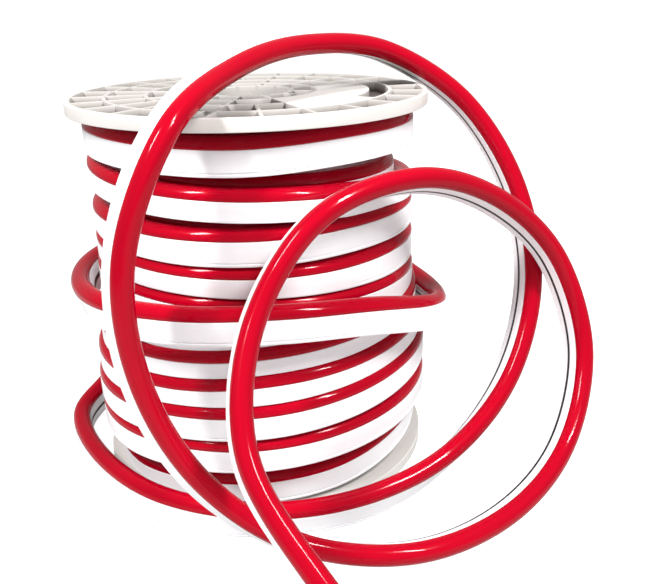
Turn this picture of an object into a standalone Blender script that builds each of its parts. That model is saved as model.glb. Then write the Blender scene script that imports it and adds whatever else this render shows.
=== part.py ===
# LED neon flex wound on a moulded plastic reel, with its outer end standing off in two free loops.
# Metres, +Z up. The origin is on the reel's axis, on the surface that the reel stands on.

import math

import bmesh
import bpy
import numpy as np
from mathutils import Vector

# Reel
REEL_HEIGHT = 0.289
FLANGE_RADIUS = 0.1325
FLANGE_THICKNESS = 0.0088
FLANGE_FLOOR = 0.0024
BORE_RADIUS = 0.0295
HUB_WALL = 0.0045
SLEEVE_LENGTH = 0.030
RIM_WALL = 0.0045
BARREL_RADIUS = 0.080
BARREL_WALL = 0.003

# Ribs of the flange: the rings' middle radii, and how many spokes cross the inner and outer bands
RING_RADII = (0.051, 0.0755, 0.105)
RING_WALL = 0.003
RIB_WALL = 0.0026
INNER_SPOKES = 12
OUTER_SPOKES = 24
SPOKE_START = math.radians(-72)
PLATE_SWEEP = math.radians(90)
PLATE_MARGIN = 0.014

# Flex: a flat white body under a red rounded diffuser
FLEX_WIDTH = 0.014
FLEX_WALL = 0.017
DOME_SHOULDER = 0.001
LAYERS = 3

# The outer turns, as directions counted on from turn to turn, in degrees, with the height of the white
# edge there and how far the turn stands out. The height is 0 where a whole side wall just stands on the
# lower flange and 1 for the top turn. The upper turns run down the reel, the lower ones climb it
UPPER_TURNS = (
    (-300, 0.999, 0.0000), (-240, 0.999, 0.0000), (-180, 0.996, 0.0000), (-150, 0.994, 0.0000),
    (-120, 0.987, 0.0000), (-95, 0.984, 0.0000), (-62, 0.994, 0.0000), (-30, 0.992, 0.0000),
    (10, 0.982, 0.0000), (60, 0.958, 0.0000), (110, 0.929, 0.0000), (160, 0.901, 0.0000),
    (208, 0.876, 0.0000), (237, 0.862, 0.0000), (262, 0.852, 0.0000), (285, 0.845, 0.0000),
    (309, 0.832, 0.0000), (327, 0.815, 0.0000), (360, 0.797, 0.0000), (450, 0.771, 0.0000),
    (540, 0.757, 0.0000), (572, 0.753, 0.0000), (608, 0.747, 0.0000), (636, 0.745, 0.0000),
    (662, 0.750, 0.0000), (698, 0.744, 0.0000), (730, 0.735, 0.0000), (810, 0.703, 0.0001),
    (890, 0.671, 0.0003), (925, 0.659, 0.0005), (948, 0.651, 0.0005), (979, 0.642, 0.0005),
    (1012, 0.638, 0.0005), (1046, 0.638, 0.0005), (1080, 0.631, 0.0007), (1170, 0.608, 0.0011),
    (1260, 0.581, 0.0015), (1307, 0.568, 0.0015), (1350, 0.553, 0.0015), (1388, 0.541, 0.0015),
    (1420, 0.531, 0.0015), (1530, 0.504, 0.0013),
)
LOWER_TURNS = (
    (-240, -0.015, 0.0007), (-180, -0.023, 0.0017), (-144, -0.023, 0.0027), (-126, -0.004, 0.0031),
    (-103, 0.005, 0.0035),
    (-88, 0.011, 0.0035), (-65, 0.019, 0.0035), (-45, 0.034, 0.0035), (-25, 0.046, 0.0041),
    (45, 0.067, 0.0072), (135, 0.093, 0.0102), (190, 0.109, 0.0117), (213, 0.118, 0.0120),
    (232, 0.130, 0.0120), (262, 0.140, 0.0120), (285, 0.149, 0.0120), (307, 0.157, 0.0120),
    (343, 0.163, 0.0120), (450, 0.185, 0.0120), (540, 0.203, 0.0120), (570, 0.215, 0.0120),
    (600, 0.236, 0.0120), (630, 0.250, 0.0120), (655, 0.266, 0.0120), (681, 0.281, 0.0120),
    (720, 0.288, 0.0117), (810, 0.295, 0.0111), (900, 0.299, 0.0101), (931, 0.303, 0.0095),
    (960, 0.315, 0.0091), (990, 0.336, 0.0090), (1017, 0.349, 0.0090), (1046, 0.363, 0.0087),
    (1080, 0.370, 0.0075), (1170, 0.376, 0.0071), (1260, 0.380, 0.0059), (1290, 0.384, 0.0057),
    (1320, 0.396, 0.0055), (1350, 0.415, 0.0055), (1378, 0.429, 0.0055), (1410, 0.443, 0.0047),
    (1440, 0.457, 0.0047), (1465, 0.467, 0.0057), (1485, 0.476, 0.0097), (1505, 0.483, 0.0152),
    (1525, 0.490, 0.0195), (1540, 0.494, 0.0213),
)
OUTER_TURNS = 5

# Directions, in degrees, between which the rings that stand for these turns run back to their start,
# and the least part of a diffuser's inner half that shows between two turns
CROSSING = (60, 95)
LEAST_GAP = 0.08

# The flex's outer end. Behind the reel it leaves the winding and goes once round it as a slack turn:
# direction and radius of its middle, its height, and how far its diffuser leans in, in degrees
SLACK_TURN = (
    (100, 0.1366, 0.1430, 0),
    (125, 0.1378, 0.1460, -4),
    (150, 0.1376, 0.1485, -13),
    (175, 0.1365, 0.1505, -20),
    (200, 0.1370, 0.1530, -19),
    (225, 0.1405, 0.1570, -8),
    (250, 0.1400, 0.1595, -2),
    (275, 0.1385, 0.1595, 0),
    (300, 0.1400, 0.1540, 0),
    (320, 0.1445, 0.1410, 8),
    (334, 0.1475, 0.1310, 18),
    (346, 0.1455, 0.1255, 22),
    (358, 0.1410, 0.1225, 18),
    (371, 0.1371, 0.1215, 13),
    (386, 0.1381, 0.1215, 10),
    (405, 0.1440, 0.1190, 3),
)

# From there it comes down behind the reel to the floor
DESCENT = (
    (425, 0.1500, 0.1110, 0),
    (445, 0.1515, 0.0950, 0),
    (465, 0.1530, 0.0750, 0),
    (485, 0.1550, 0.0530, 0),
    (503, 0.1565, 0.0320, 0),
    (519, 0.1580, 0.0195, 0),
)

# Along the floor and through its two loops: the middle, and the way the diffuser faces there
ROUTE = (
    ((-0.1606, 0.0098, 0.0132), (0.00, 0.00, 1.00)),
    ((-0.1304, -0.0609, 0.0131), (0.01, 0.01, 1.00)),
    ((-0.0786, -0.1173, 0.0134), (-0.02, -0.01, 1.00)),
    ((-0.0074, -0.1448, 0.0140), (-0.02, -0.15, 0.99)),
    ((0.0688, -0.1381, 0.0165), (0.00, -0.31, 0.95)),
    ((0.1376, -0.1088, 0.0332), (0.05, -0.70, 0.71)),
    ((0.1892, -0.0735, 0.0771), (0.21, -0.89, 0.40)),
    ((0.2130, -0.0404, 0.1419), (0.21, -0.89, 0.40)),
    ((0.2054, -0.0078, 0.2107), (0.09, -0.90, 0.44)),
    ((0.1674, 0.0144, 0.2734), (0.07, -0.96, 0.27)),
    ((0.1032, 0.0075, 0.3140), (0.36, -0.93, 0.05)),
    ((0.0384, -0.0324, 0.3224), (0.65, -0.76, 0.06)),
    ((-0.0120, -0.0915, 0.3130), (0.80, -0.58, 0.14)),
    ((-0.0498, -0.1530, 0.2854), (0.61, -0.76, 0.23)),
    ((-0.0783, -0.1669, 0.2173), (0.42, -0.91, -0.01)),
    ((-0.0764, -0.1725, 0.1409), (0.52, -0.84, 0.19)),
    ((-0.0445, -0.1798, 0.0717), (0.46, -0.76, 0.46)),
    ((0.0153, -0.1892, 0.0256), (0.15, -0.77, 0.62)),
    ((0.0906, -0.1933, 0.0142), (0.12, -0.82, 0.55)),
    ((0.1616, -0.1652, 0.0170), (0.40, -0.76, 0.51)),
    ((0.2180, -0.1186, 0.0386), (0.37, -0.76, 0.54)),
    ((0.2443, -0.0761, 0.0946), (0.21, -0.90, 0.39)),
    ((0.2227, -0.0604, 0.1651), (0.33, -0.92, 0.21)),
    ((0.1686, -0.0752, 0.2165), (0.53, -0.79, 0.31)),
    ((0.1032, -0.1066, 0.2413), (0.46, -0.79, 0.41)),
    ((0.0367, -0.1400, 0.2276), (0.15, -0.91, 0.38)),
    ((-0.0064, -0.1681, 0.1716), (0.17, -0.88, 0.44)),
    ((-0.0140, -0.2138, 0.1112), (0.15, -0.70, 0.70)),
    ((0.0203, -0.2637, 0.0651), (0.01, -0.63, 0.78)),
    ((0.0620, -0.3120, 0.0370), (0.00, -0.45, 0.89)),
    ((0.1080, -0.3530, 0.0197), (0.00, -0.20, 0.98)),
    ((0.1620, -0.3830, 0.0137), (0.00, -0.04, 1.00)),
)
FLEX_RINGS = 150

# Fits and fineness
FIT_GAP = 0.0003
FLANGE_STEPS = 72
WINDING_STEPS = 48
POCKET_STEP = math.radians(7.5)
SMOOTH_ANGLE = math.radians(35)

# Places worked out from the sizes above
SPOOL_BOTTOM = FLANGE_THICKNESS
SPOOL_TOP = REEL_HEIGHT - FLANGE_THICKNESS
DOME_RADIUS = FLEX_WIDTH / 2
DOME_RISE = DOME_SHOULDER + DOME_RADIUS
FLEX_HEIGHT = FLEX_WALL + DOME_RISE
WINDING_BORE = BARREL_RADIUS + FIT_GAP
WINDING_RADIUS = WINDING_BORE + LAYERS * FLEX_WIDTH


def clear_scene():
    """Start from an empty scene."""
    for thing in list(bpy.data.objects):
        bpy.data.objects.remove(thing, do_unlink=True)


def make_material(name, colour, roughness, metallic=0.0):
    """One plain surface: its colour, roughness and metallic value."""
    material = bpy.data.materials.new(name)
    material.use_nodes = True
    surface = material.node_tree.nodes["Principled BSDF"]
    surface.inputs["Base Color"].default_value = (*colour, 1.0)
    surface.inputs["Roughness"].default_value = roughness
    surface.inputs["Metallic"].default_value = metallic
    return material


def add_object(name, bm, material):
    """Turn the edited mesh into a named object with its faces pointing out."""
    bmesh.ops.remove_doubles(bm, verts=bm.verts, dist=1e-6)
    bmesh.ops.recalc_face_normals(bm, faces=bm.faces)
    mesh = bpy.data.meshes.new(name)
    bm.to_mesh(mesh)
    bm.free()
    mesh.materials.append(material)
    mesh.shade_smooth()
    mesh.set_sharp_from_angle(angle=SMOOTH_ANGLE)
    thing = bpy.data.objects.new(name, mesh)
    bpy.context.scene.collection.objects.link(thing)
    return thing


def turned(profile, steps):
    """Spin a closed outline of (radius, height) points once around the Z axis."""
    bm = bmesh.new()
    points = [bm.verts.new((radius, 0.0, height)) for radius, height in profile]
    edges = [bm.edges.new((a, b)) for a, b in zip(points, points[1:] + points[:1])]
    bmesh.ops.spin(
        bm,
        geom=points + edges,
        cent=(0, 0, 0),
        axis=(0, 0, 1),
        angle=math.tau,
        steps=steps,
        use_merge=True,
    )
    return bm


def polar(radius, angle):
    """A point of the plane from its radius and direction."""
    return Vector((radius * math.cos(angle), radius * math.sin(angle)))


def pocket_outline(inner, outer, start, end):
    """A pocket between two rings and two spokes, whose sides run parallel to the spokes."""
    half = RIB_WALL / 2
    steps = max(1, round((end - start) / POCKET_STEP))
    corners = []
    for radius, order in ((outer, 1), (inner, -1)):
        trim = math.asin(half / radius)
        first, last = start + trim, end - trim
        angles = [first + (last - first) * i / steps for i in range(steps + 1)]
        corners += [polar(radius, angle) for angle in angles[::order]]
    return corners


def pocket_places():
    """Inner radius, outer radius, start and end angle of every pocket of a flange."""
    half = RING_WALL / 2
    rings = [BORE_RADIUS + HUB_WALL - half, *RING_RADII, FLANGE_RADIUS - RIM_WALL + half]
    plate_end = SPOKE_START + PLATE_SWEEP
    places = []
    for band, (inner, outer) in enumerate(zip(rings, rings[1:])):
        spokes = INNER_SPOKES if band < 2 else OUTER_SPOKES
        step = math.tau / spokes
        for i in range(spokes):
            start = SPOKE_START + i * step
            on_plate = start + step < plate_end + step / 2
            if on_plate and band in (1, 2):
                continue
            places.append((inner + half, outer - half, start, start + step))
    plate_edge = RING_RADII[1] + PLATE_MARGIN
    places.append((plate_edge, RING_RADII[2] - half, SPOKE_START + PLATE_SWEEP * 0.4, plate_end))
    return places


def pocket_cutter(name):
    """All pockets of a flange as one guide mesh that reaches above its open face."""
    bm = bmesh.new()
    for place in pocket_places():
        outline = [bm.verts.new((p.x, p.y, FLANGE_FLOOR)) for p in pocket_outline(*place)]
        face = bm.faces.new(outline)
        raised = bmesh.ops.extrude_face_region(bm, geom=[face])["geom"]
        top = [item for item in raised if isinstance(item, bmesh.types.BMVert)]
        bmesh.ops.translate(bm, verts=top, vec=(0, 0, FLANGE_THICKNESS))
    bmesh.ops.recalc_face_normals(bm, faces=bm.faces)
    mesh = bpy.data.meshes.new(name)
    bm.to_mesh(mesh)
    bm.free()
    cutter = bpy.data.objects.new(name, mesh)
    bpy.context.scene.collection.objects.link(cutter)
    cutter.hide_render = True
    cutter.display_type = "WIRE"
    return cutter


def flange(name, material, cutter):
    """A ribbed disc with a sleeve around its bore; its open face looks along +Z."""
    sleeve = BORE_RADIUS + HUB_WALL
    profile = [
        (BORE_RADIUS, -SLEEVE_LENGTH),
        (sleeve, -SLEEVE_LENGTH),
        (sleeve, 0.0),
        (FLANGE_RADIUS, 0.0),
        (FLANGE_RADIUS, FLANGE_THICKNESS),
        (BORE_RADIUS, FLANGE_THICKNESS),
    ]
    disc = add_object(name, turned(profile, FLANGE_STEPS), material)
    cut = disc.modifiers.new("pockets", "BOOLEAN")
    cut.object = cutter
    cut.operation = "DIFFERENCE"
    cut.solver = "EXACT"
    return disc


def place(things, location, rotation=(0.0, 0.0, 0.0)):
    """Stand objects in the same place and turn."""
    for thing in things:
        thing.location = location
        thing.rotation_euler = rotation


def barrel(material):
    """The tube between the flanges that carries the winding."""
    low = SPOOL_BOTTOM + FIT_GAP
    high = SPOOL_TOP - FIT_GAP
    inner = BARREL_RADIUS - BARREL_WALL
    profile = [(inner, low), (BARREL_RADIUS, low), (BARREL_RADIUS, high), (inner, high)]
    return add_object("barrel", turned(profile, WINDING_STEPS), material)


def outer_turns():
    """White edge and outer radius of each outer turn from the top down, once round the reel.

    Every turn is closed into a ring: where the flex passes from one turn to the next, behind the
    reel, the ring runs back to its own start.
    """
    top = SPOOL_TOP - FIT_GAP - DOME_RISE
    bottom = SPOOL_BOTTOM + FIT_GAP + FLEX_WALL
    directions = np.arange(WINDING_STEPS) * 360 / WINDING_STEPS
    inside = np.linspace(CROSSING[1], CROSSING[0] + 360, WINDING_STEPS)
    rings = []
    order = list(range(OUTER_TURNS))
    for table, turns in ((UPPER_TURNS, order), (LOWER_TURNS, order[::-1])):
        places, heights, swells = np.array(table).T
        for turn in turns:
            run = inside + 360 * (turn - 1)
            height = np.interp(directions, inside, np.interp(run, places, heights), period=360)
            swell = np.interp(directions, inside, np.interp(run, places, swells), period=360)
            rings.append((bottom + (top - bottom) * height, WINDING_RADIUS + swell))
    return directions, rings


def dome(middle, edge, start, end):
    """Points over a diffuser from one angle to another, counted in eighths of a turn."""
    centre = edge + DOME_SHOULDER
    count = round(abs(end - start) / 45)
    angles = [math.radians(start + (end - start) * i / count) for i in range(count + 1)]
    return [(middle + DOME_RADIUS * math.cos(a), centre + DOME_RADIUS * math.sin(a)) for a in angles]


def turn_outline(edge, radius, above, below):
    """One outer turn from the foot of the turn above it down to its own foot.

    Where there is room under the turn above, the inner half of the diffuser shows in the gap.
    """
    crown = edge + DOME_RISE
    room = (above - FLEX_WALL - crown) / DOME_RADIUS
    inner = 90 * min(max(room, LEAST_GAP), 1.0)
    roof = max(above - FLEX_WALL, crown + FIT_GAP)
    foot = max(edge - FLEX_WALL, below + DOME_RISE + FIT_GAP)
    middle = radius - DOME_RADIUS
    centre = edge + DOME_SHOULDER
    outline = []
    for angle in (90 + inner, 90 + inner / 2, 90, 60, 30, 0):
        a = math.radians(angle)
        outline.append((middle + DOME_RADIUS * math.cos(a), centre + DOME_RADIUS * math.sin(a)))
    return [(outline[0][0], roof), *outline, (radius, foot)]


def winding_profile(turns):
    """Outline of the winding in one direction: its layers' domes on top, its outer turns down its side."""
    top = SPOOL_TOP - FIT_GAP - DOME_RISE
    bottom = SPOOL_BOTTOM + FIT_GAP
    outline = []
    for layer in range(LAYERS - 1):
        middle = WINDING_BORE + (layer + 0.5) * FLEX_WIDTH
        outline += dome(middle, top, 180, 0)[1 if layer else 0:]
    edges = [edge for edge, radius in turns]
    above = [edges[0] + 2 * FLEX_HEIGHT, *edges[:-1]]
    below = [*edges[1:], bottom - DOME_RISE - FIT_GAP]
    for turn, ((edge, radius), over, under) in enumerate(zip(turns, above, below)):
        outline += turn_outline(edge, radius, over, under)[0 if turn else 1:]
    groove = DOME_SHOULDER
    for layer in range(LAYERS - 1, 0, -1):
        joint = WINDING_BORE + layer * FLEX_WIDTH
        outline += [(joint + groove, bottom), (joint, bottom + groove), (joint - groove, bottom)]
    outline.append((WINDING_BORE, bottom))
    return outline


def winding(material):
    """The wound flex: its outline carried round the reel, the outer turns rising and falling."""
    directions, rings = outer_turns()
    bm = bmesh.new()
    columns = []
    for i, direction in enumerate(directions):
        profile = winding_profile([(edges[i], radii[i]) for edges, radii in rings])
        ahead = polar(1.0, math.radians(direction))
        columns.append([bm.verts.new((r * ahead.x, r * ahead.y, height)) for r, height in profile])
    for column, following in zip(columns, columns[1:] + columns[:1]):
        for i in range(len(column)):
            j = (i + 1) % len(column)
            bm.faces.new((column[i], column[j], following[j], following[i]))
    return add_object("winding", bm, material)


def flex_section():
    """Outline of the flex around its middle: (sideways, towards the diffuser)."""
    base = -FLEX_HEIGHT / 2
    side = FLEX_WIDTH / 2
    section = [(-side, base), (side, base)]
    section += [(x, y + base + FLEX_WALL) for x, y in dome(0.0, 0.0, 0, 180)]
    return section


def smooth_curve(points, count):
    """Evenly spaced points on a smooth curve through the given ones.

    A Catmull-Rom curve through the points, in as many columns as they have, is sampled
    finely and then read off again at equal lengths of its first three columns.
    """
    points = np.array(points, dtype=float)
    points = np.vstack([2 * points[0] - points[1], points, 2 * points[-1] - points[-2]])
    t = np.linspace(0, 1, 40, endpoint=False)[:, None]
    pieces = []
    for a, b, c, d in zip(points, points[1:], points[2:], points[3:]):
        bend = 2 * a - 5 * b + 4 * c - d
        swing = 3 * b - a - 3 * c + d
        pieces.append(0.5 * (2 * b + (c - a) * t + bend * t**2 + swing * t**3))
    pieces.append(points[-2:-1])
    fine = np.vstack(pieces)
    step = np.linalg.norm(np.diff(fine[:, :3], axis=0), axis=1)
    length = np.concatenate([[0.0], np.cumsum(step)])
    wanted = np.linspace(0, length[-1], count)
    return np.stack([np.interp(wanted, length, column) for column in fine.T], axis=-1)


def round_the_reel(direction, radius, height, lean):
    """A place on the flex beside the winding, and the way its diffuser faces there."""
    spot = polar(radius, math.radians(direction))
    inward = -polar(math.sin(math.radians(lean)), math.radians(direction))
    return (spot.x, spot.y, height, inward.x, inward.y, math.cos(math.radians(lean)))


def swept_flex(name, middles, alongs, facings, material):
    """Carry the flex's section along its middle, its diffuser turned the way it faces."""
    sides = np.cross(alongs, facings)
    bm = bmesh.new()
    rings = []
    for middle, facing, side in zip(middles, facings, sides):
        ring = [bm.verts.new(middle + x * side + y * facing) for x, y in flex_section()]
        rings.append(ring)
    for ring, following in zip(rings, rings[1:]):
        for i in range(len(ring)):
            j = (i + 1) % len(ring)
            bm.faces.new((ring[i], ring[j], following[j], following[i]))
    bm.faces.new(rings[0])
    bm.faces.new(rings[-1])
    return add_object(name, bm, material)


def outer_end(material):
    """The outer end of the flex: a slack turn, then the free length, which meets it end to end."""
    stations = [round_the_reel(*station) for station in SLACK_TURN + DESCENT]
    stations += [(*middle, *facing) for middle, facing in ROUTE]
    curve = smooth_curve(stations, FLEX_RINGS)
    middles, facings = curve[:, :3], curve[:, 3:]
    alongs = np.gradient(middles, axis=0)
    alongs /= np.linalg.norm(alongs, axis=1, keepdims=True)
    facings = facings - np.sum(facings * alongs, axis=1, keepdims=True) * alongs
    facings /= np.linalg.norm(facings, axis=1, keepdims=True)
    last = np.array(stations[len(SLACK_TURN) - 1][:3])
    joint = int(np.linalg.norm(middles - last, axis=1).argmin())
    swept_flex("loose_turn", middles[: joint + 1], alongs[: joint + 1], facings[: joint + 1], material)
    middles[joint] += FIT_GAP * alongs[joint]
    swept_flex("free_length", middles[joint:], alongs[joint:], facings[joint:], material)


def main():
    clear_scene()
    plastic = make_material("reel_plastic", (0.86, 0.83, 0.78), 0.45)
    flex = make_material("flex", (0.75, 0.02, 0.03), 0.22)

    cutter_top = pocket_cutter("pockets_top")
    flange_top = flange("flange_top", plastic, cutter_top)
    place((cutter_top, flange_top), (0, 0, SPOOL_TOP))

    cutter_bottom = pocket_cutter("pockets_bottom")
    flange_bottom = flange("flange_bottom", plastic, cutter_bottom)
    place((cutter_bottom, flange_bottom), (0, 0, SPOOL_BOTTOM), (math.pi, 0, 0))

    barrel(plastic)
    winding(flex)
    outer_end(flex)


main()
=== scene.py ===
"""LED neon flex on a ribbed plastic reel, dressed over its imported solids.

Metres, +Z up, the origin on the reel's axis on the surface that it stands on. The flex is one long
strip: it winds up the reel, leaves the winding behind it as a slack turn, comes down to the floor
and stands off in front of the reel in two free loops.
"""

import math

import bpy
import numpy as np
from bpy.props import FloatProperty, FloatVectorProperty, IntProperty, PointerProperty
from bpy.types import Operator, Panel, PropertyGroup
from mathutils import Matrix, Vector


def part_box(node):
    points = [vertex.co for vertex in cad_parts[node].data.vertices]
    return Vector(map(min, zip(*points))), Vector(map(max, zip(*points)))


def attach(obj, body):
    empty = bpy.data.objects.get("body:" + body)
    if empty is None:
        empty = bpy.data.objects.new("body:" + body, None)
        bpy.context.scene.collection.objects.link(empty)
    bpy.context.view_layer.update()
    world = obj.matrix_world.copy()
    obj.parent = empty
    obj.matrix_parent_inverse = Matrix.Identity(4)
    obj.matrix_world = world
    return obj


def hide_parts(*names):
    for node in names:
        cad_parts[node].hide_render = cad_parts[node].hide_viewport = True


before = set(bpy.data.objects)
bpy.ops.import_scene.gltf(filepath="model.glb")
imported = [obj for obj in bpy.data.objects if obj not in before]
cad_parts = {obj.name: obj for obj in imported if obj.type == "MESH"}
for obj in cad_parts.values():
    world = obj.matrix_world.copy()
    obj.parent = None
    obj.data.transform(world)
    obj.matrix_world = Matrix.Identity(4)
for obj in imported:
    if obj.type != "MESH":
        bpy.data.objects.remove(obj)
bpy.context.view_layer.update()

bl_info = {
    "name": "Neon flex on a reel",
    "version": (1, 0, 0),
    "blender": (4, 5, 0),
    "location": "View3D > Sidebar > Neon Flex",
    "description": "Builds a reel of neon flex with its outer end standing off in free loops",
    "category": "Add Mesh",
}

MM = 0.001

# The flex's outer end, as the solids hold it. Round the reel: the direction and radius of its middle,
# its height, and how far its diffuser leans in, in degrees
SLACK_TURN = (
    (100, 0.1366, 0.1430, 0),
    (125, 0.1378, 0.1460, -4),
    (150, 0.1376, 0.1485, -13),
    (175, 0.1365, 0.1505, -20),
    (200, 0.1370, 0.1530, -19),
    (225, 0.1405, 0.1570, -8),
    (250, 0.1400, 0.1595, -2),
    (275, 0.1385, 0.1595, 0),
    (300, 0.1400, 0.1540, 0),
    (320, 0.1445, 0.1410, 8),
    (334, 0.1475, 0.1310, 18),
    (346, 0.1455, 0.1255, 22),
    (358, 0.1410, 0.1225, 18),
    (371, 0.1371, 0.1215, 13),
    (386, 0.1381, 0.1215, 10),
    (405, 0.1440, 0.1190, 3),
    (425, 0.1500, 0.1110, 0),
    (445, 0.1515, 0.0950, 0),
    (465, 0.1530, 0.0750, 0),
    (485, 0.1550, 0.0530, 0),
    (503, 0.1565, 0.0320, 0),
    (519, 0.1580, 0.0195, 0),
)

# Along the floor and through its two loops: the middle, and the way the diffuser faces there
ROUTE = (
    ((-0.1606, 0.0098, 0.0132), (0.00, 0.00, 1.00)),
    ((-0.1304, -0.0609, 0.0131), (0.01, 0.01, 1.00)),
    ((-0.0786, -0.1173, 0.0134), (-0.02, -0.01, 1.00)),
    ((-0.0074, -0.1448, 0.0140), (-0.02, -0.15, 0.99)),
    ((0.0688, -0.1381, 0.0165), (0.00, -0.31, 0.95)),
    ((0.1376, -0.1088, 0.0332), (0.05, -0.70, 0.71)),
    ((0.1892, -0.0735, 0.0771), (0.21, -0.89, 0.40)),
    ((0.2130, -0.0404, 0.1419), (0.21, -0.89, 0.40)),
    ((0.2054, -0.0078, 0.2107), (0.09, -0.90, 0.44)),
    ((0.1674, 0.0144, 0.2734), (0.07, -0.96, 0.27)),
    ((0.1032, 0.0075, 0.3140), (0.36, -0.93, 0.05)),
    ((0.0384, -0.0324, 0.3224), (0.65, -0.76, 0.06)),
    ((-0.0120, -0.0915, 0.3130), (0.80, -0.58, 0.14)),
    ((-0.0498, -0.1530, 0.2854), (0.61, -0.76, 0.23)),
    ((-0.0783, -0.1669, 0.2173), (0.42, -0.91, -0.01)),
    ((-0.0764, -0.1725, 0.1409), (0.52, -0.84, 0.19)),
    ((-0.0445, -0.1798, 0.0717), (0.46, -0.76, 0.46)),
    ((0.0153, -0.1892, 0.0256), (0.15, -0.77, 0.62)),
    ((0.0906, -0.1933, 0.0142), (0.12, -0.82, 0.55)),
    ((0.1616, -0.1652, 0.0170), (0.40, -0.76, 0.51)),
    ((0.2180, -0.1186, 0.0386), (0.37, -0.76, 0.54)),
    ((0.2443, -0.0761, 0.0946), (0.21, -0.90, 0.39)),
    ((0.2227, -0.0604, 0.1651), (0.33, -0.92, 0.21)),
    ((0.1686, -0.0752, 0.2165), (0.53, -0.79, 0.31)),
    ((0.1032, -0.1066, 0.2413), (0.46, -0.79, 0.41)),
    ((0.0367, -0.1400, 0.2276), (0.15, -0.91, 0.38)),
    ((-0.0064, -0.1681, 0.1716), (0.17, -0.88, 0.44)),
    ((-0.0140, -0.2138, 0.1112), (0.15, -0.70, 0.70)),
    ((0.0203, -0.2637, 0.0651), (0.01, -0.63, 0.78)),
    ((0.0620, -0.3120, 0.0370), (0.00, -0.45, 0.89)),
    ((0.1080, -0.3530, 0.0197), (0.00, -0.20, 0.98)),
    ((0.1620, -0.3830, 0.0137), (0.00, -0.04, 1.00)),
)

# The turns that show, as (direction in degrees, height of the white edge, outer radius), in mm.
# The upper turns run down the reel, the lower ones run up it to where the slack turn leaves
UPPER_TURNS = (
    (-300, 271.6, 108.4), (-292, 271.6, 111.5), (-282, 271.6, 118.5), (-272, 271.6, 121.7),
    (-240, 271.6, 122.3), (-180, 271.0, 122.3), (-150, 270.4, 122.3), (-120, 268.8, 122.3),
    (-95, 268.0, 122.3), (-62, 270.4, 122.3), (-30, 270.0, 122.3), (10, 267.5, 122.3),
    (60, 261.5, 122.3), (110, 254.5, 122.3), (160, 247.5, 122.3),
    (208, 241.5, 122.3), (237, 238.0, 122.3), (262, 235.6, 122.3), (285, 233.8, 122.3),
    (309, 230.6, 122.3), (327, 226.5, 122.3), (360, 222.0, 122.3), (450, 215.5, 122.3),
    (540, 212.2, 122.3), (572, 211.2, 122.3), (608, 209.6, 122.3), (636, 209.3, 122.3),
    (662, 210.4, 122.3), (698, 209.0, 122.3), (730, 206.8, 122.3), (810, 199.0, 122.4),
    (890, 191.0, 122.6), (925, 188.0, 122.8), (948, 186.0, 122.8), (979, 184.0, 122.8),
    (1012, 183.0, 122.8), (1046, 183.0, 122.8), (1080, 181.2, 123.0), (1170, 175.5, 123.4),
    (1260, 169.0, 123.8), (1307, 165.6, 123.8), (1350, 162.0, 123.8), (1388, 159.2, 123.8),
    (1420, 156.6, 123.8), (1530, 150.0, 123.6), (1620, 143.5, 123.4), (1680, 139.5, 123.0),
    (1740, 138.0, 122.5), (1800, 137.0, 121.0), (1860, 134.0, 118.0),
)
LOWER_TURNS = (
    (-240, 22.5, 121.0), (-234, 22.5, 122.6), (-226, 22.3, 123.2), (-180, 20.5, 124.0),
    (-144, 20.5, 125.0), (-126, 25.0, 125.4), (-103, 27.3, 125.8),
    (-88, 28.8, 125.8), (-65, 30.8, 125.8), (-45, 34.4, 125.8), (-25, 37.4, 126.4),
    (45, 42.5, 129.5), (135, 49.0, 132.5), (190, 52.8, 134.0), (213, 55.0, 134.3),
    (232, 58.0, 134.3), (262, 60.6, 134.3), (285, 62.8, 134.3), (307, 64.8, 134.3),
    (343, 66.2, 134.3), (450, 71.5, 134.3), (540, 76.0, 134.3), (570, 79.0, 134.3),
    (600, 84.0, 134.3), (630, 87.6, 134.3), (655, 91.4, 134.3), (681, 95.2, 134.3),
    (720, 97.0, 134.0), (810, 98.5, 133.4), (900, 99.5, 132.4), (931, 100.5, 131.8),
    (960, 103.6, 131.4), (990, 108.8, 131.3), (1017, 112.0, 131.3), (1046, 115.4, 131.0),
    (1080, 117.0, 129.8), (1170, 118.5, 129.4), (1260, 119.5, 128.2), (1290, 120.4, 128.0),
    (1320, 123.4, 127.8), (1350, 128.0, 127.8), (1378, 131.6, 127.8), (1410, 135.0, 127.0),
    (1440, 138.4, 127.0), (1465, 141.0, 128.0), (1485, 143.0, 132.0),
    (1505, 144.9, 137.5), (1525, 146.6, 141.8), (1541, 147.5, 143.7),
)
# The second layer, which shows in the gaps between the upper turns, and the first one under it
SECOND_LAYER = (
    (-540, 271.6, 108.2), (-330, 271.0, 108.2), (-210, 264.0, 108.2), (-150, 251.0, 108.2),
    (-120, 243.0, 108.2), (-90, 240.0, 108.2), (-60, 238.0, 108.2), (-30, 236.5, 108.2),
    (90, 228.0, 108.2), (210, 216.5, 108.2), (240, 213.5, 108.2), (270, 211.5, 108.2),
    (300, 210.0, 108.2), (330, 208.5, 108.2), (450, 203.0, 108.2), (630, 192.0, 108.2),
    (990, 165.0, 108.2), (1350, 138.0, 108.2), (1710, 111.0, 108.2), (2070, 84.0, 108.2),
    (2430, 57.0, 108.2), (2700, 36.0, 108.2), (2820, 26.4, 108.2), (3060, 26.4, 108.2),
)
FIRST_LAYER = (
    (-540, 26.4, 94.1), (-300, 26.4, 94.1), (0, 48.0, 94.1), (2800, 250.0, 94.1),
    (3060, 271.6, 94.1), (3300, 271.6, 94.1),
)

# Between these directions a gap shows under the second turn from the top: its foot ends this much
# higher than that of a whole wall
GAP_TURN = (140, 400)
GAP_LIFT = 3.4 * MM

# Up to this direction the upper turns carry the turn above them; past it lower turns carry that one
LAST_UPPER = 1500

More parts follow.
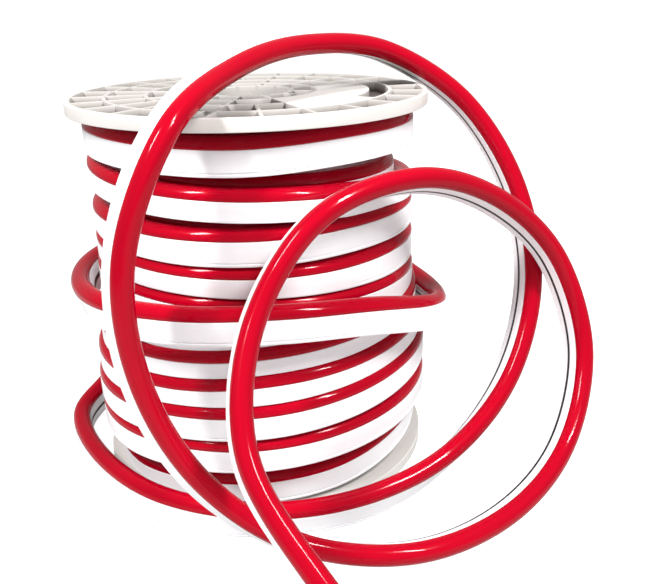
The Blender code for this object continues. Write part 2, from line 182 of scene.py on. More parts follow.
# Degrees from ring to ring along a turn that shows and along a hidden one, and the part of its height
# that a wall keeps where turns lie closest
TURN_STEP = 3.0
HIDDEN_STEP = 5.0
LOWEST_WALL = 0.6

# Half of the flex's outline has this many points on its white body. The foot's groove lies between
# the first two of these points and the black line's, a painted groove shadow, between the other two
WHITE_POINTS = 22
FOOT_GROOVE = (7, 8)
LINE_GROOVE = (13, 14)
GROOVE_DEPTH = 0.55 * MM

# Ribs of the flange: middle radii of its rings and half a ring's and a spoke's wall, in metres, and
# the directions of its plate
RING_RADII = (0.051, 0.0755, 0.105)
RING_HALF = 1.5 * MM
SPOKE_HALF = 1.3 * MM
SPOKES = 24
SPOKE_START = math.radians(-72)
PLATE_SWEEP = math.radians(90)
PLATE_MARGIN = 0.014
ARC_START = SPOKE_START + 0.4 * PLATE_SWEEP

# Painted shade: how far the ribs' tops, a flange's inner face and its bore go towards the pockets' painted
# shade colour
RIB_SHADE = 0.33
FACE_SHADE = 0.25
BORE_SHADE = 0.35

# Where the photograph was taken from: the camera's place in metres and its turns in degrees
CAMERA_PLACE = (0.0, -0.58347, 0.35692)
CAMERA_PITCH = 21.708
CAMERA_YAW = 5.863
CAMERA_ROLL = -1.132

# The two softboxes: their directions in degrees, how far they stand from the reel's axis and above
# the point that they aim at, and their size
SOFTBOXES = (("softbox_left", -137), ("softbox_right", -48))
SOFTBOX_AWAY = 0.9
SOFTBOX_RISE = 1.07
SOFTBOX_SIZE = (0.13, 0.42)
AIM_HEIGHT = 0.15

# Half the floor's width and how far it lies below the reel; how strongly it glows and is seen to
# glow; and how strongly the background is seen
FLOOR_REACH = 6.0
FLOOR_DROP = 0.3 * MM
FLOOR_GLOW = 0.05
FLOOR_SEEN = 0.85
BACK_SEEN = 1.05


class FlexSettings(PropertyGroup):
    """The strip's section and its colours."""

    width: FloatProperty(
        name="Width", description="Width of the strip", default=0.014, unit="LENGTH"
    )
    wall: FloatProperty(
        name="Wall", description="Height of the white side wall", default=0.017, unit="LENGTH"
    )
    shoulder: FloatProperty(
        name="Shoulder",
        description="Straight part of the diffuser above the white wall",
        default=0.001,
        unit="LENGTH",
    )
    # Where the black band of painted groove shadow lies on the inner wall
    line_height: FloatProperty(
        name="Line",
        description="Distance of the black line below the diffuser",
        default=0.0088,
        unit="LENGTH",
    )
    red: FloatVectorProperty(
        name="Diffuser",
        description="Colour of the rounded diffuser",
        default=(0.40, 0.0, 0.011),
        size=3,
        subtype="COLOR",
    )
    white: FloatVectorProperty(
        name="Body",
        description="Colour of the side walls and the base",
        default=(0.90, 0.895, 0.91),
        size=3,
        subtype="COLOR",
    )
    steps: IntProperty(
        name="Rings", description="Rings along the free end", default=760, min=60
    )


class ReelSettings(PropertyGroup):
    """The reel's sizes and colours."""

    radius: FloatProperty(
        name="Radius",
        description="Outer radius of the flanges",
        default=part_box("flange_top")[1][0],
        unit="LENGTH",
    )
    thickness: FloatProperty(
        name="Thickness", description="Thickness of a flange", default=0.0088, unit="LENGTH"
    )
    floor: FloatProperty(
        name="Floor", description="Thickness of a pocket's floor", default=0.0024, unit="LENGTH"
    )
    bore: FloatProperty(
        name="Bore", description="Radius of the bore", default=0.0295, unit="LENGTH"
    )
    sleeve: FloatProperty(
        name="Sleeve", description="Length of the sleeve under a flange", default=0.030, unit="LENGTH"
    )
    rim: FloatProperty(
        name="Rim", description="Width of the rim and of the hub", default=0.0045, unit="LENGTH"
    )
    plastic: FloatVectorProperty(
        name="Plastic",
        description="Colour of the ribs and the rim",
        default=(0.69, 0.665, 0.64),
        size=3,
        subtype="COLOR",
    )
    # Painted shade: the dark colour that the pockets, the ribs' tops, the inner face and the bore are
    # mixed towards
    painted_pocket_shade: FloatVectorProperty(
        name="Pockets",
        description="Colour down in the pockets",
        default=(0.105, 0.083, 0.072),
        size=3,
        subtype="COLOR",
    )


class StageSettings(PropertyGroup):
    """Floor, lights and camera."""

    lens: FloatProperty(
        name="Lens", description="Focal length of the camera", default=40.885, unit="CAMERA"
    )
    light: FloatProperty(
        name="Softboxes", description="Power of each softbox", default=21.0, unit="POWER"
    )
    sky: FloatProperty(
        name="Fill", description="Strength of the even fill light", default=0.42, min=0.0
    )


# Meshes


def finish_piece(name, points, faces, materials, kinds, uvs=None, depth=None, sharp=40):
    """Make one mesh object from whole arrays: points, faces, each face's material and each corner's UV."""
    mesh = bpy.data.meshes.new(name)
    mesh.from_pydata(points.tolist(), [], faces)
    for material in materials:
        mesh.materials.append(material)
    mesh.polygons.foreach_set("material_index", np.asarray(kinds, dtype=np.int32))
    if uvs is not None:
        layer = mesh.uv_layers.new(name="UVMap")
        corners = np.empty(len(mesh.loops), dtype=np.int32)
        mesh.loops.foreach_get("vertex_index", corners)
        layer.data.foreach_set("uv", uvs[corners].astype(np.float32).ravel())
    # The depth attribute carries painted shade, which the reel's material mixes in
    if depth is not None:
        painted_shade = mesh.attributes.new("depth", "FLOAT", "POINT")
        painted_shade.data.foreach_set("value", depth.astype(np.float32))
    mesh.shade_smooth()
    mesh.set_sharp_from_angle(angle=math.radians(sharp))
    mesh.update()
    piece = bpy.data.objects.new(name, mesh)
    bpy.context.scene.collection.objects.link(piece)
    return piece


def eased(table, wanted):
    """Read a table at the wanted values of its first column.

    Between two rows a cubic joins them, whose slope at a row is that of the line between
    the row before it and the row after it.
    """
    table = np.array(table, dtype=float)
    x, y = table[:, 0], table[:, 1:]
    slope = np.gradient(y, x, axis=0)
    i = np.clip(np.searchsorted(x, wanted) - 1, 0, len(x) - 2)
    step = (x[i + 1] - x[i])[:, None]
    t = ((wanted - x[i]) / step[:, 0])[:, None]
    return (
        (1 + 2 * t) * (1 - t) ** 2 * y[i]
        + t * (1 - t) ** 2 * step * slope[i]
        + t**2 * (3 - 2 * t) * y[i + 1]
        + t**2 * (t - 1) * step * slope[i + 1]
    )


def smooth_curve(stations, count):
    """Evenly spaced rows on a smooth curve through the stations.

    A Catmull-Rom curve through them is sampled finely and read off again at equal lengths
    of its first three columns.
    """
    rows = np.array(stations, dtype=float)
    rows = np.vstack([2 * rows[0] - rows[1], rows, 2 * rows[-1] - rows[-2]])
    t = np.linspace(0, 1, 40, endpoint=False)[:, None]
    a, b, c, d = rows[:-3, None], rows[1:-2, None], rows[2:-1, None], rows[3:, None]
    fine = 0.5 * (
        2 * b + (c - a) * t + (2 * a - 5 * b + 4 * c - d) * t**2 + (3 * b - a - 3 * c + d) * t**3
    )
    fine = np.vstack([fine.reshape(-1, rows.shape[1]), rows[-2:-1]])
    step = np.linalg.norm(np.diff(fine[:, :3], axis=0), axis=1)
    length = np.concatenate([[0.0], np.cumsum(step)])
    wanted = np.linspace(0, length[-1], count)
    return np.stack([np.interp(wanted, length, column) for column in fine.T], axis=-1)


def flex_outline(flex, line_depth=0.22 * MM):
    """Outline of the flex as (sideways, up) around the middle of its white edge.

    It starts at the middle of the base, goes up the outer wall over the foot and its groove to
    the white lip, over the half-round diffuser and down the inner wall, where the black line lies in a
    shallow groove as that groove's painted shadow. Returns the outline, each face's finish (0 white,
    1 red, 2 black painted shadow) and how deep the foot's groove is cut at each point.
    """
    side = flex.width / 2
    low = -flex.wall
    line = -flex.line_height
    edge = [
        (0.0, low), (0.5 * side, low), (side - 0.75 * MM, low), (side - 0.22 * MM, low + 0.2 * MM),
        (side, low + 0.7 * MM), (side, low + 1.6 * MM), (side, low + 2.0 * MM),
        (side, low + 2.15 * MM), (side, low + 3.1 * MM), (side, low + 3.3 * MM),
        (side, low + 4.4 * MM), (side, line - 1.9 * MM), (side, line - 1.4 * MM),
        (side, line - 1.3 * MM), (side, line + 1.3 * MM), (side, line + 1.4 * MM),
        (side, line + 1.9 * MM), (side, line / 3), (side, -0.8 * MM), (side, -0.35 * MM),
        (side - 0.12 * MM, -0.08 * MM), (side - 0.42 * MM, 0.0),
    ]
    radius = side - 0.03 * MM
    arc = np.radians(np.linspace(0, 90, 13))
    edge += [(side - 0.46 * MM, 0.06 * MM), (side - 0.14 * MM, 0.34 * MM)]
    edge += [(radius * math.cos(a), flex.shoulder + radius * math.sin(a)) for a in arc]
    half = np.array(edge)
    groove = np.zeros(len(half))
    groove[FOOT_GROOVE[0] : FOOT_GROOVE[1] + 1] = GROOVE_DEPTH
    outline = np.vstack([half, half[-2:0:-1] * (-1, 1)])
    grooves = np.concatenate([groove, groove[-2:0:-1]]) * np.sign(outline[:, 0])
    count = len(outline)
    outline[count - LINE_GROOVE[1] : count - LINE_GROOVE[0] + 1, 0] += line_depth
    finish = np.zeros(count, dtype=int)
    finish[WHITE_POINTS : count - WHITE_POINTS] = 1
    finish[count - LINE_GROOVE[1] - 1 : count - LINE_GROOVE[0] + 1] = 2
    return outline, finish, grooves


def swept_strip(name, flex, edges, facings, materials, walls=None):
    """Carry the flex's outline along the middle of its white edge.

    A point is edge + sideways * side + up * facing, where side is the cross product of the
    way along and the facing. Where walls gives a lower wall than the whole one, everything
    below the white edge is pressed together and the foot's groove closes.
    """
    outline, finish, grooves = flex_outline(flex)
    count, rings = len(outline), len(edges)
    alongs = np.gradient(edges, axis=0)
    alongs /= np.linalg.norm(alongs, axis=1, keepdims=True)
    facings = facings - np.sum(facings * alongs, axis=1, keepdims=True) * alongs
    facings /= np.linalg.norm(facings, axis=1, keepdims=True)
    sides = np.cross(alongs, facings)
    walls = np.full(rings, flex.wall) if walls is None else walls
    part = (walls / flex.wall)[:, None]
    opened = np.clip((walls - 0.9 * flex.wall) / (0.1 * flex.wall), 0, 1)[:, None]
    up = np.where(outline[:, 1] < 0, outline[:, 1] * part, outline[:, 1])
    out = outline[:, 0] - grooves * opened
    points = edges[:, None] + out[..., None] * sides[:, None] + up[..., None] * facings[:, None]
    ring = np.arange(rings - 1)[:, None] * count
    here = np.arange(count)[None]
    ahead = (here + 1) % count
    quads = np.stack([ring + here, ring + count + here, ring + count + ahead, ring + ahead], -1)
    kinds = np.tile(finish, rings - 1)
    top = count // 2
    low = np.arange(1, top - 1)
    cap = np.stack([low, low + 1, count - low - 1, count - low], -1)
    last = (rings - 1) * count
    faces = quads.reshape(-1, 4).tolist() + cap.tolist() + (cap[:, ::-1] + last).tolist()
    faces += [[0, 1, count - 1], [top - 1, top, top + 1]]
    faces += [[last, last + count - 1, last + 1], [last + top - 1, last + top + 1, last + top]]
    cap_kinds = np.where(low < WHITE_POINTS, 0, 1)
    kinds = np.concatenate([kinds, cap_kinds, cap_kinds, [0, 1, 0, 1]])
    run = np.concatenate([[0], np.cumsum(np.linalg.norm(np.diff(edges, axis=0), axis=1))])
    around = np.concatenate([[0], np.cumsum(np.linalg.norm(np.diff(outline, axis=0), axis=1))])
    uvs = np.stack(np.broadcast_arrays(run[:, None], around[None]), -1).reshape(-1, 2)
    return finish_piece(name, points.reshape(-1, 3), faces, materials, kinds, uvs)


def helix(table, step):
    """Directions, heights and radii along a table's turns, about every step degrees, in metres."""
    start, end = table[0][0], table[-1][0]
    directions = np.linspace(start, end, int((end - start) / step) + 1)
    heights, radii = (eased(table, directions) * MM).T
    return directions, heights, radii


def heights_at(table, directions):
    """Height of the white edge, in metres, in the wanted directions."""
    return eased(table, directions)[:, 0] * MM


def diffuser_rise(flex):
    """How far the diffuser stands above the white edge."""
    return flex.shoulder + flex.width / 2


def around_axis(directions, heights, radii):
    """Points of a winding: radius times the cosine and the sine of the direction, then the height."""
    angle = np.radians(directions)
    return np.stack([radii * np.cos(angle), radii * np.sin(angle), heights], -1)


# Finishes


def node(tree, kind, values=(), **settings):
    """Add a node, set its own settings, then its inputs by name or number."""
    made = tree.nodes.new(kind)
    for key, value in settings.items():
        setattr(made, key, value)
    for key, value in dict(values).items():
        made.inputs[key].default_value = value
    return made


def new_material(name, colour, roughness):
    """A Principled surface; returns the material, its tree and its shader."""
    material = bpy.data.materials.new(name)
    material.use_nodes = True
    tree = material.node_tree
    shader = tree.nodes["Principled BSDF"]
    shader.inputs["Base Color"].default_value = (*colour, 1.0)
    shader.inputs["Roughness"].default_value = roughness
    return material, tree, shader


def mixed(tree, factor, low, high):
    """A colour between two, by a factor."""
    mix = node(tree, "ShaderNodeMix", data_type="RGBA")
    tree.links.new(factor, mix.inputs["Factor"])
    mix.inputs["A"].default_value = (*low, 1.0)
    mix.inputs["B"].default_value = (*high, 1.0)
    return mix.outputs["Result"]


def ranged(tree, value, low, high, start=0.3, end=0.7):
    """Carry a noise value into a range."""
    spread = node(tree, "ShaderNodeMapRange", {1: start, 2: end, 3: low, 4: high})
    tree.links.new(value, spread.inputs[0])
    return spread.outputs[0]


def bumped(tree, shader, height, strength, distance):
    """Raise the surface a little by a height."""
    bump = node(tree, "ShaderNodeBump", {"Strength": strength, "Distance": distance})
    tree.links.new(height, bump.inputs["Height"])
    tree.links.new(bump.outputs["Normal"], shader.inputs["Normal"])


def drawn_noise(tree, along, across):
    """Noise on the flex's UV map, drawn out along the strip as the die leaves it."""
    place = node(tree, "ShaderNodeUVMap", uv_map="UVMap")
    scale = node(tree, "ShaderNodeMapping", {"Scale": (along, across, 1.0)})
    noise = node(tree, "ShaderNodeTexNoise", {"Scale": 1.0, "Detail": 3.0, "Roughness": 0.55})
    tree.links.new(place.outputs["UV"], scale.inputs["Vector"])
    tree.links.new(scale.outputs["Vector"], noise.inputs["Vector"])
    return noise.outputs["Fac"]


def grain(tree, scale, detail=2.0):
    """Even noise on the piece's own coordinates."""
    place = node(tree, "ShaderNodeTexCoord")
    noise = node(tree, "ShaderNodeTexNoise", {"Scale": scale, "Detail": detail})
    tree.links.new(place.outputs["Object"], noise.inputs["Vector"])
    return noise.outputs["Fac"]


def flex_materials(flex):
    """White body, red diffuser and the black line of painted groove shadow, made once and shared by every
    strip.
    """
    if "neon_white_body" in bpy.data.materials:
        names = ("neon_white_body", "neon_red_diffuser", "neon_painted_groove_shadow")
        return [bpy.data.materials[name] for name in names]
    white, tree, shader = new_material("neon_white_body", flex.white, 0.38)
    shader.inputs["Specular IOR Level"].default_value = 0.4
    dim = [0.95 * c for c in flex.white]
    colour = mixed(tree, ranged(tree, drawn_noise(tree, 9.0, 160.0), 0, 1), dim, flex.white)
    tree.links.new(colour, shader.inputs["Base Color"])
    tree.links.new(ranged(tree, grain(tree, 60.0), 0.32, 0.46), shader.inputs["Roughness"])
    bumped(tree, shader, drawn_noise(tree, 30.0, 1400.0), 0.25, 0.0001)

    red, tree, shader = new_material("neon_red_diffuser", flex.red, 0.1)
    shader.inputs["Specular IOR Level"].default_value = 0.14
    deep = (0.82 * flex.red[0], 0.0, 0.9 * flex.red[2])
    colour = mixed(tree, ranged(tree, drawn_noise(tree, 7.0, 220.0), 0, 1), deep, flex.red)
    tree.links.new(colour, shader.inputs["Base Color"])
    tree.links.new(ranged(tree, grain(tree, 45.0), 0.08, 0.14), shader.inputs["Roughness"])
    bumped(tree, shader, drawn_noise(tree, 24.0, 900.0), 0.18, 0.0001)

    # Painted shadow: a near-black band for the shade in the shallow groove on the inner wall
    black, tree, shader = new_material("neon_painted_groove_shadow", (0.012, 0.01, 0.012), 0.5)
    tree.links.new(ranged(tree, drawn_noise(tree, 40.0, 900.0), 0.4, 0.6), shader.inputs["Roughness"])
    return [white, red, black]


def reel_material(reel):
    """Moulded warm white plastic with painted shade: darker and warmer down in its pockets."""
    if "reel_moulded_plastic" in bpy.data.materials:
        return bpy.data.materials["reel_moulded_plastic"]
    plastic, tree, shader = new_material("reel_moulded_plastic", reel.plastic, 0.42)
    shader.inputs["Specular IOR Level"].default_value = 0.45
    # Painted shade: the depth attribute mixes the mottled plastic towards the dark pocket colour
    depth = node(tree, "ShaderNodeAttribute", attribute_name="depth")
    painted_shade = node(tree, "ShaderNodeMix", data_type="RGBA")
    tree.links.new(depth.outputs["Fac"], painted_shade.inputs["Factor"])
    warm = [0.96 * reel.plastic[0], 0.95 * reel.plastic[1], 0.93 * reel.plastic[2]]
    mottle = mixed(tree, ranged(tree, grain(tree, 38.0, 4.0), 0, 1), warm, reel.plastic)
    tree.links.new(mottle, painted_shade.inputs["A"])
    painted_shade.inputs["B"].default_value = (*reel.painted_pocket_shade, 1.0)
    tree.links.new(painted_shade.outputs["Result"], shader.inputs["Base Color"])
    tree.links.new(ranged(tree, grain(tree, 90.0), 0.36, 0.52), shader.inputs["Roughness"])
    bumped(tree, shader, grain(tree, 2600.0, 1.0), 0.12, 0.0001)
    return plastic


# Reel


def rib_side(depth):
    """A rib's side: how far each line lies out from its edge, and how deep the surface is there."""
    return np.array(
        [
            (-0.32 * MM, 0.0), (-0.1 * MM, 0.08 * MM), (0.0, 0.3 * MM),
            (0.14 * MM, depth - 0.4 * MM), (0.28 * MM, depth - 0.1 * MM), (0.6 * MM, depth),
        ]
    )


def flange_rows(reel):
    """Rows of a flange from the bore outwards: radius, depth below the top, and band.

    The band is 0 to 3 where a row crosses pockets and -1 elsewhere; the rows of the third band
    also hold the edge of the blank plate, whose own depth stands in the last column.
    """
    depth = reel.thickness - reel.floor
    side = rib_side(depth)
    hub = reel.bore + reel.rim
    rim = reel.radius - reel.rim
    starts = [hub] + [r + RING_HALF for r in RING_RADII]
    ends = [r - RING_HALF for r in RING_RADII] + [rim]
    plate = RING_RADII[1] + PLATE_MARGIN
    rows = [(reel.bore, 0.6 * MM, -1, 0), (reel.bore + 0.1 * MM, 0.25 * MM, -1, 0)]
    rows += [(reel.bore + 0.35 * MM, 0.05 * MM, -1, 0), (reel.bore + 0.6 * MM, 0.0, -1, 0)]
    for band, (start, end) in enumerate(zip(starts, ends)):
        rows += [(start + out, deep, band, 0) for out, deep in side]
        first, last = start + side[-1, 0], end - side[-1, 0]
        if band == 2:
            rows.append(((first + plate + side[0, 0]) / 2, depth, band, 0))
            rows += [(plate + out, depth, band, deep) for out, deep in side]
            rows.append(((plate + side[-1, 0] + last) / 2, depth, band, depth))
        else:
            rows += [(first + (last - first) * f, depth, band, 0) for f in (0.25, 0.5, 0.75)]
        plate_deep = depth if band == 2 else 0
        rows += [(end - out, deep, band, plate_deep) for out, deep in side[::-1]]
    return np.array(rows)


def flange_columns():
    """Columns of a flange: each one's spoke, its distance to one side of it, and free columns.

    A column holds (direction of its spoke, sideways distance, spoke number, kind): kind 0 runs
    beside a spoke, kind 1 is a free column between the two around it, kind 2 runs beside the
    start of the arc pocket.
    """
    side = rib_side(1.0)[:, 0] + SPOKE_HALF
    step = math.tau / SPOKES
    columns = []
    for k in range(SPOKES):
        here, ahead = SPOKE_START + k * step, SPOKE_START + (k + 1) * step
        columns.append((here, 0.0, k, 0))
        columns += [(here, out, k, 0) for out in side]
        if here < ARC_START < ahead:
            columns.append((ARC_START, 0.0, k, 2))
            columns += [(ARC_START, out, k, 2) for out in side]
            columns.append((0.5, 0.0, k, 1))
        else:
            columns += [(f, 0.0, k, 1) for f in (0.25, 0.5, 0.75)]
        columns += [(ahead, -out, k + 1, 0) for out in side[::-1]]
    return np.array(columns)


def flange_surface(reel):
    """Points, faces and painted shade of one flange, standing with its underside at height 0.

    Its profile is carried once round the axis. On the open face the height of a point is the
    top less the smaller of two depths: that of the ring beside it and that of the spoke beside
    it; on the blank plate the depth is 0, apart from its one arc pocket. From the rim the
    profile goes down, in under the flange, down the sleeve and back up through the bore.
    """
    depth = reel.thickness - reel.floor
    side = rib_side(depth)
    rows, columns = flange_rows(reel), flange_columns()
    hub = reel.bore + reel.rim
    top, foot = reel.thickness, -reel.sleeve
    rim = [
        (reel.radius - 0.9 * MM, top), (reel.radius - 0.4 * MM, top - 0.1 * MM),
        (reel.radius - 0.1 * MM, top - 0.4 * MM), (reel.radius, top - 0.9 * MM),
        (reel.radius, 0.8 * MM), (reel.radius - 0.12 * MM, 0.35 * MM),
        (reel.radius - 0.4 * MM, 0.08 * MM),
    ]
    face = [
        (reel.radius - 0.9 * MM, 0.0), (0.9 * reel.radius, 0.0), (0.7 * reel.radius, 0.0),
        (0.5 * reel.radius, 0.0), (hub + 0.8 * MM, 0.0), (hub, -0.8 * MM),
    ]
    sleeve = [
        (hub, foot / 2), (hub, foot + 0.8 * MM), (hub - 0.25 * MM, foot + 0.25 * MM),
        (hub - 0.8 * MM, foot), (reel.bore + 0.8 * MM, foot),
    ]
    bore = [
        (reel.bore + 0.25 * MM, foot + 0.25 * MM), (reel.bore, foot + 0.8 * MM),
        (reel.bore, 0.75 * foot), (reel.bore, 0.4 * foot), (reel.bore, 0.0), (reel.bore, 0.5 * top),
    ]
    stretches = (rim, face, sleeve, bore)
    below = np.vstack(stretches)
    # Painted shade on the inner face and in the bore
    below_shade = np.repeat((0.0, FACE_SHADE, 0.0, BORE_SHADE), [len(s) for s in stretches])
    radii = np.concatenate([rows[:, 0], below[:, 0]])[:, None]
    base, out, spoke, kind = columns.T
    angles = np.where(kind == 1, 0.0, base) + np.arcsin(out / radii)
    beside = np.flatnonzero(kind != 1)
    for j in np.flatnonzero(kind == 1):
        left = beside[beside < j].max()
        right = beside[beside > j].min()
        angles[:, j] = angles[:, left] * (1 - base[j]) + angles[:, right] * base[j]
    band = rows[:, 2:3]
    on_ring = rows[:, 1:2]
    reach = np.abs(out) - SPOKE_HALF
    profile = np.where(kind == 1, depth, np.interp(reach, side[:, 0], side[:, 1]))
    profile = np.where(kind == 2, depth, profile)
    every = np.broadcast_to(profile, (len(rows), len(columns)))
    even = np.where((spoke % 2 == 1) & (kind == 0), depth, every)
    deep = np.minimum(on_ring, np.where(band < 2, even, every))
    plate_end = SPOKE_START + PLATE_SWEEP
    middle = angles[len(rows) // 2]
    on_plate = (middle > SPOKE_START - 1e-6) & (middle < plate_end + 1e-6)
    on_plate = on_plate[None] & ((band == 1) | (band == 2))
    arc = np.where(kind == 2, np.interp(reach, side[:, 0], side[:, 1]), depth)
    arc = np.where(middle < ARC_START, 0.0, arc)
    at_end = (kind == 0) & (spoke == round(PLATE_SWEEP / math.tau * SPOKES))
    arc = np.where(at_end, profile, arc)
    pocket = np.minimum(np.minimum(rows[:, 3:4], on_ring), arc[None])
    deep = np.where(on_plate, pocket, deep)
    heights = np.vstack([top - deep, np.repeat(below[:, 1:2], len(columns), axis=1)])
    # Painted shade: darker the deeper a point lies in a pocket, at least RIB_SHADE on the ribs' tops, none
    # on the blank plate
    painted_shade = np.maximum(np.sqrt(deep / depth), RIB_SHADE)
    painted_shade = np.where(on_plate & (pocket == 0), 0.0, painted_shade)
    painted_shade = np.vstack([painted_shade, np.repeat(below_shade[:, None], len(columns), axis=1)])
    points = np.stack([radii * np.cos(angles), radii * np.sin(angles), heights], -1)
    i = np.arange(len(radii))[:, None]
    j = np.arange(len(columns))[None]
    across, onward = (i + 1) % len(radii), (j + 1) % len(columns)
    count = len(columns)
    quads = np.stack([i * count + j, across * count + j, across * count + onward, i * count + onward], -1)
    return points.reshape(-1, 3), quads.reshape(-1, 4), painted_shade.ravel()


# Operators


def standing(right, up, back, place):
    """Matrix of a camera or a lamp, which looks against the third of its axes, from its place."""
    return Matrix([*np.column_stack([right, up, back, place]).tolist(), (0.0, 0.0, 0.0, 1.0)])


class NEON_OT_stage(Operator):
    """Set the pale floor, the two softboxes, the fill light and the camera"""

    bl_idname = "neon.stage"
    bl_label = "Stage"

    def execute(self, context):
        stage = context.scene.neon_stage
        scene = context.scene
        scene.view_settings.view_transform = "Standard"
        scene.view_settings.look = "None"
        data = bpy.data.cameras.new("camera")
        data.sensor_width = 36.0
        data.lens = stage.lens
        data.clip_end = 30.0
        camera = bpy.data.objects.new("camera", data)
        pitch = math.radians(CAMERA_PITCH)
        yaw = math.radians(CAMERA_YAW)
        roll = math.radians(CAMERA_ROLL)
        forward = np.array(
            [math.sin(yaw) * math.cos(pitch), math.cos(yaw) * math.cos(pitch), -math.sin(pitch)]
        )
        right = np.array([math.cos(yaw), -math.sin(yaw), 0.0])
        up = np.cross(right, forward)
        turned = math.cos(roll) * right + math.sin(roll) * up
        raised = -math.sin(roll) * right + math.cos(roll) * up
        camera.matrix_world = standing(turned, raised, -forward, CAMERA_PLACE)
        scene.collection.objects.link(camera)
        scene.camera = camera

        mesh = bpy.data.meshes.new("floor")
        corners = FLOOR_REACH * np.array([(-1, -1, 0), (1, -1, 0), (1, 1, 0), (-1, 1, 0)])
        mesh.from_pydata((corners - (0, 0, FLOOR_DROP)).tolist(), [], [(0, 1, 2, 3)])
        floor = bpy.data.objects.new("floor", mesh)
        scene.collection.objects.link(floor)
        pale, tree, shader = new_material("pale_floor", (0.55, 0.55, 0.55), 0.9)
        shader.inputs["Specular IOR Level"].default_value = 0.0
        shader.inputs["Emission Color"].default_value = (1.0, 1.0, 1.0, 1.0)
        self.seen_brighter(tree, shader.inputs["Emission Strength"], FLOOR_GLOW, FLOOR_SEEN)
        mesh.materials.append(pale)

        for name, direction in SOFTBOXES:
            self.softbox(scene, name, direction, stage.light)
        world = bpy.data.worlds.new("fill")
        world.use_nodes = True
        back = world.node_tree.nodes["Background"]
        back.inputs["Color"].default_value = (1.0, 1.0, 1.0, 1.0)
        self.seen_brighter(world.node_tree, back.inputs["Strength"], stage.sky, BACK_SEEN)
        scene.world = world
        return {"FINISHED"}

    def seen_brighter(self, tree, strength, lighting, seen):
        """Let a surface light the reel with one strength and be seen with another."""
        path = node(tree, "ShaderNodeLightPath")
        value = node(tree, "ShaderNodeMapRange", {3: lighting, 4: seen})
        tree.links.new(path.outputs["Is Camera Ray"], value.inputs[0])
        tree.links.new(value.outputs[0], strength)

    def softbox(self, scene, name, direction, power):
        """Hang a tall soft light in front of the reel, turned towards its middle."""
        light = bpy.data.lights.new(name, "AREA")
        light.shape = "RECTANGLE"
        light.size, light.size_y = SOFTBOX_SIZE
        light.energy = power
        lamp = bpy.data.objects.new(name, light)
        angle = math.radians(direction)
        aim = np.array([0.0, 0.0, AIM_HEIGHT])
        away = SOFTBOX_AWAY * np.array([math.cos(angle), math.sin(angle), 0.0])
        back = away + (0.0, 0.0, SOFTBOX_RISE)
        place = aim + back
        back /= np.linalg.norm(back)
        side = np.array([-math.sin(angle), math.cos(angle), 0.0])
        lamp.matrix_world = standing(side, np.cross(back, side), back, place)
        scene.collection.objects.link(lamp)


class NEON_OT_free_end(Operator):
    """Make the flex's outer end: the slack turn, the run along the floor and the two free loops"""

    bl_idname = "neon.free_end"
    bl_label = "Free end"

    def execute(self, context):
        flex = context.scene.neon_flex
        stations = []
        for direction, radius, height, lean in SLACK_TURN:
            a, b = math.radians(direction), math.radians(lean)
            inward = (-math.sin(b) * math.cos(a), -math.sin(b) * math.sin(a), math.cos(b))
            stations.append((radius * math.cos(a), radius * math.sin(a), height, *inward))
        stations += [(*middle, *facing) for middle, facing in ROUTE]
        curve = smooth_curve(stations, flex.steps)
        middles, facings = curve[:, :3], curve[:, 3:]
        alongs = np.gradient(middles, axis=0)
        alongs /= np.linalg.norm(alongs, axis=1, keepdims=True)
        facings = facings - np.sum(facings * alongs, axis=1, keepdims=True) * alongs
        facings /= np.linalg.norm(facings, axis=1, keepdims=True)
        rise = diffuser_rise(flex)
        edges = middles + (flex.wall - rise) / 2 * facings
        piece = swept_strip("free_end", flex, edges, facings, flex_materials(flex))
        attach(piece, "root")
        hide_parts("free_length", "loose_turn")
        return {"FINISHED"}


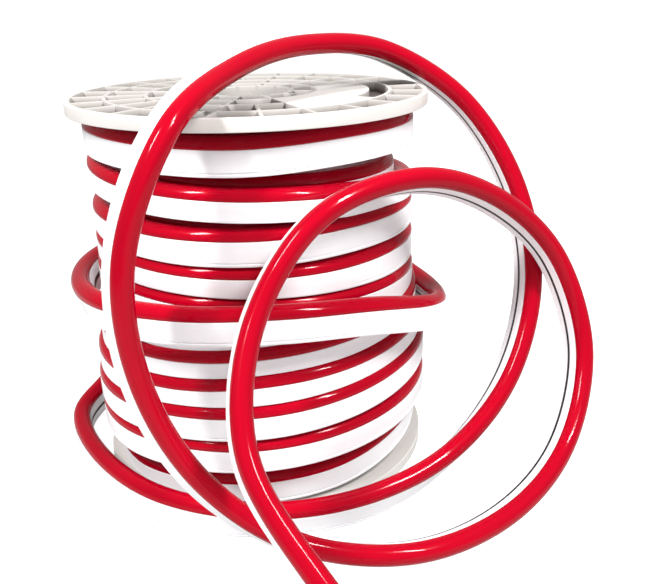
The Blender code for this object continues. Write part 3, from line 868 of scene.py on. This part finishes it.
class NEON_OT_winding(Operator):
    """Wind the flex on the reel: two hidden layers, the upper turns and the lower turns"""

    bl_idname = "neon.winding"
    bl_label = "Winding"

    def execute(self, context):
        flex = context.scene.neon_flex
        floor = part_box("winding")[0][2]
        self.upper_turns(flex)
        self.lower_turns(flex, floor)
        for name, table, way in (("second_layer", SECOND_LAYER, 1), ("first_layer", FIRST_LAYER, -1)):
            self.hidden_layer(flex, floor, name, table, way)
        return {"FINISHED"}

    def upper_turns(self, flex):
        """The turns that run down the reel; each rests on the next one, the last on lower turns."""
        directions, heights, radii = helix(UPPER_TURNS, TURN_STEP)
        ahead = np.minimum(directions + 360, LAST_UPPER)
        lower = np.clip(directions, LOWER_TURNS[0][0], LOWER_TURNS[-1][0])
        on_upper = directions + 360 <= LAST_UPPER
        crown = np.where(on_upper, heights_at(UPPER_TURNS, ahead), heights_at(LOWER_TURNS, lower))
        crown += diffuser_rise(flex)
        gap = (directions > GAP_TURN[0]) & (directions < GAP_TURN[1])
        crown = np.where(gap, np.maximum(crown, heights - flex.wall + GAP_LIFT), crown)
        self.strip(flex, "upper_turns", directions, heights, radii, crown)

    def lower_turns(self, flex, floor):
        """The turns that climb the reel; the first rests on the lower flange, each other on the last."""
        directions, heights, radii = helix(LOWER_TURNS, TURN_STEP)
        first = LOWER_TURNS[0][0]
        before = np.maximum(directions - 360, first)
        crown = heights_at(LOWER_TURNS, before) + diffuser_rise(flex)
        crown = np.where(directions - 360 >= first, crown, floor)
        self.strip(flex, "lower_turns", directions, heights, radii, crown)

    def hidden_layer(self, flex, floor, name, table, way):
        """A layer inside the winding; the turn below lies ahead of it or, going up, behind it."""
        directions, heights, radii = helix(table, HIDDEN_STEP)
        under = directions + way * 360
        inside = (under >= directions[0]) & (under <= directions[-1])
        crown = heights_at(table, np.clip(under, directions[0], directions[-1])) + diffuser_rise(flex)
        self.strip(flex, name, directions, heights, radii, np.where(inside, crown, floor))

    def strip(self, flex, name, directions, heights, radii, crown):
        """Sweep the flex along turns, its foot resting on the crown of what lies below it."""
        walls = np.clip(heights - crown, LOWEST_WALL * flex.wall, flex.wall)
        edges = around_axis(directions, heights, radii - flex.width / 2)
        facings = np.tile((0.0, 0.0, 1.0), (len(edges), 1))
        piece = swept_strip(name, flex, edges, facings, flex_materials(flex), walls)
        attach(piece, "root")
        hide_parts("winding")


class NEON_OT_reel(Operator):
    """Make the two ribbed flanges and give the barrel its plastic"""

    bl_idname = "neon.reel"
    bl_label = "Reel"

    def execute(self, context):
        reel = context.scene.neon_reel
        plastic = reel_material(reel)
        # The third array is the flanges' painted shade, stored in their depth attribute
        points, quads, painted_shade = flange_surface(reel)
        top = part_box("flange_top")[1][2] - reel.thickness
        upper = points + (0.0, 0.0, top)
        lower = points * (1.0, -1.0, -1.0) + (0.0, 0.0, reel.thickness)
        for name, placed in (("flange_top", upper), ("flange_bottom", lower)):
            faces = quads.tolist()
            kinds = np.zeros(len(faces))
            piece = finish_piece("ribbed_" + name, placed, faces, [plastic], kinds, depth=painted_shade, sharp=30)
            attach(piece, "root")
            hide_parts(name)
        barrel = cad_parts["barrel"]
        for slot in barrel.material_slots:
            slot.material = plastic
        return {"FINISHED"}


class NEON_PT_panel(Panel):
    """The reel's pieces, in the order in which they are made"""

    bl_idname = "NEON_PT_panel"
    bl_label = "Neon Flex"
    bl_space_type = "VIEW_3D"
    bl_region_type = "UI"
    bl_category = "Neon Flex"

    def draw(self, context):
        for group in (context.scene.neon_flex, context.scene.neon_reel, context.scene.neon_stage):
            box = self.layout.box()
            for name in group.__annotations__:
                box.prop(group, name)
        for operator in OPERATORS:
            self.layout.operator(operator.bl_idname)


OPERATORS = (NEON_OT_stage, NEON_OT_free_end, NEON_OT_winding, NEON_OT_reel)
CLASSES = (FlexSettings, ReelSettings, StageSettings, *OPERATORS, NEON_PT_panel)


def register():
    for item in CLASSES:
        bpy.utils.register_class(item)
    bpy.types.Scene.neon_flex = PointerProperty(type=FlexSettings)
    bpy.types.Scene.neon_reel = PointerProperty(type=ReelSettings)
    bpy.types.Scene.neon_stage = PointerProperty(type=StageSettings)


def unregister():
    del bpy.types.Scene.neon_stage
    del bpy.types.Scene.neon_reel
    del bpy.types.Scene.neon_flex
    for item in reversed(CLASSES):
        bpy.utils.unregister_class(item)


def main():
    register()
    bpy.ops.neon.stage()
    bpy.ops.neon.free_end()
    bpy.ops.neon.winding()
    bpy.ops.neon.reel()


if __name__ == "__main__":
    main()
